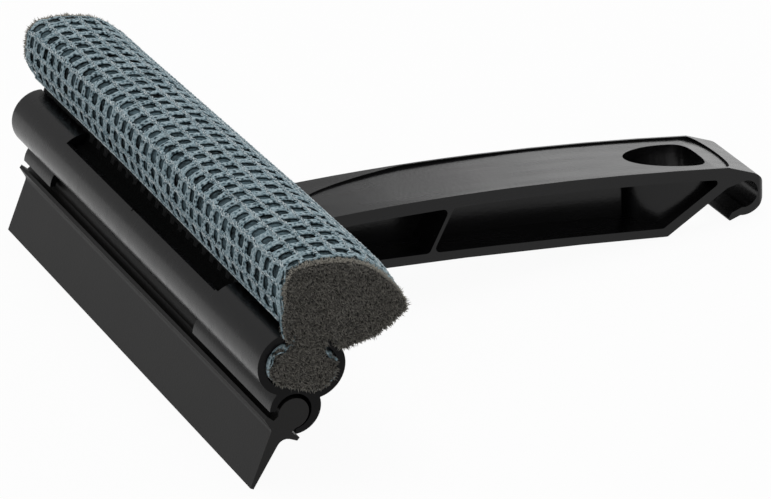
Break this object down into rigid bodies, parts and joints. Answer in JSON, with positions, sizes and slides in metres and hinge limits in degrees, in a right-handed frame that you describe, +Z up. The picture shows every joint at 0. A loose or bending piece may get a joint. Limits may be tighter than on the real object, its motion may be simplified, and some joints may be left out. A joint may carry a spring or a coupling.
{
  "type": "window squeegee",
  "caption": "Hand squeegee for windows: one-piece handle and head with a rubber wiping blade below, a net-covered foam scrubber above, and a hanging hole and hook at the handle's end.",
  "frame": {"origin": "on the table the squeegee stands on, under the middle of its length; it stands on its rubber edge and on the tip of its hook", "axes": "+X from the wiping edge to the hook, +Y along the head, +Z up"},
  "size_m": [0.2218, 0.2, 0.0696],
  "materials": {
    "black_plastic": "satin",
    "grey_foam": "matte",
    "blue_grey_yarn": "matte",
    "black_rubber": "matte"
  },
  "bodies": {
    "head": {"handle_and_channels": "black_plastic"},
    "scrubber": {"foam_scrubber": "grey_foam", "net_cover": "blue_grey_yarn"},
    "blade": {"rubber_blade": "black_rubber"}
  },
  "joints": [
    {"name": "scrubber_slide", "type": "slide", "parent": "head", "child": "scrubber", "axis": [0, 1, 0], "range_m": [-0.2, 0.2]},
    {"name": "blade_slide", "type": "slide", "parent": "head", "child": "blade", "axis": [0, 1, 0], "range_m": [-0.2, 0.2]}
  ]
}
